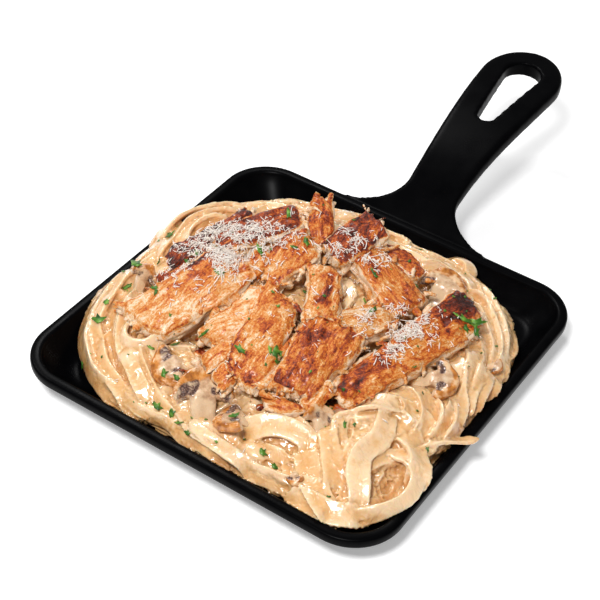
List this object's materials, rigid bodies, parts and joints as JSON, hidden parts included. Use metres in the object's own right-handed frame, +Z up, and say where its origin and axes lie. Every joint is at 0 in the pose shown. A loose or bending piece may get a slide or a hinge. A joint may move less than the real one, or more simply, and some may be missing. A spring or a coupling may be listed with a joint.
{
  "type": "fettuccine alfredo",
  "caption": "Creamy fettuccine heaped in a square black handled pan, topped with seared chicken slices, mushroom slices, grated cheese and parsley.",
  "frame": {"origin": "centre of the flat base of the pan, on the surface it rests on", "axes": "+Z up, +Y along the handle away from the dish, +X to the right when looking along the handle"},
  "size_m": [0.18, 0.301, 0.0555],
  "materials": {
    "pan": "black melamine made to look like cast iron, satin, slightly glossy on the rim",
    "noodles": "egg pasta coated in cream sauce, moist and glossy",
    "chicken": "seared breast, browned top, pale cut sides, moist",
    "mushroom": "cooked mushroom slice, pale flesh, brown skin and dark gills, moist"
  },
  "bodies": {
    "root": {"chicken_back": "chicken", "chicken_bit_back": "chicken", "chicken_bit_front": "chicken", "chicken_bit_left": "chicken", "chicken_bit_lower": "chicken", "chicken_center": "chicken", "chicken_chunk": "chicken", "chicken_far": "chicken", "chicken_front": "chicken", "chicken_inner": "chicken", "chicken_left": "chicken", "chicken_left_far": "chicken", "chicken_left_inner": "chicken", "chicken_middle": "chicken", "chicken_narrow": "chicken", "chicken_right": "chicken", "chicken_right_top": "chicken", "chicken_shard": "chicken", "chicken_top": "chicken", "chicken_upright": "chicken", "mushroom_far_left": "mushroom", "mushroom_front": "mushroom", "mushroom_front_left": "mushroom", "mushroom_gap": "mushroom", "mushroom_large": "mushroom", "mushroom_left": "mushroom", "mushroom_near_rim": "mushroom", "mushroom_near_wall": "mushroom", "mushroom_right": "mushroom", "mushroom_right_far": "mushroom", "noodles": "noodles", "pan": "pan"}
  },
  "joints": []
}
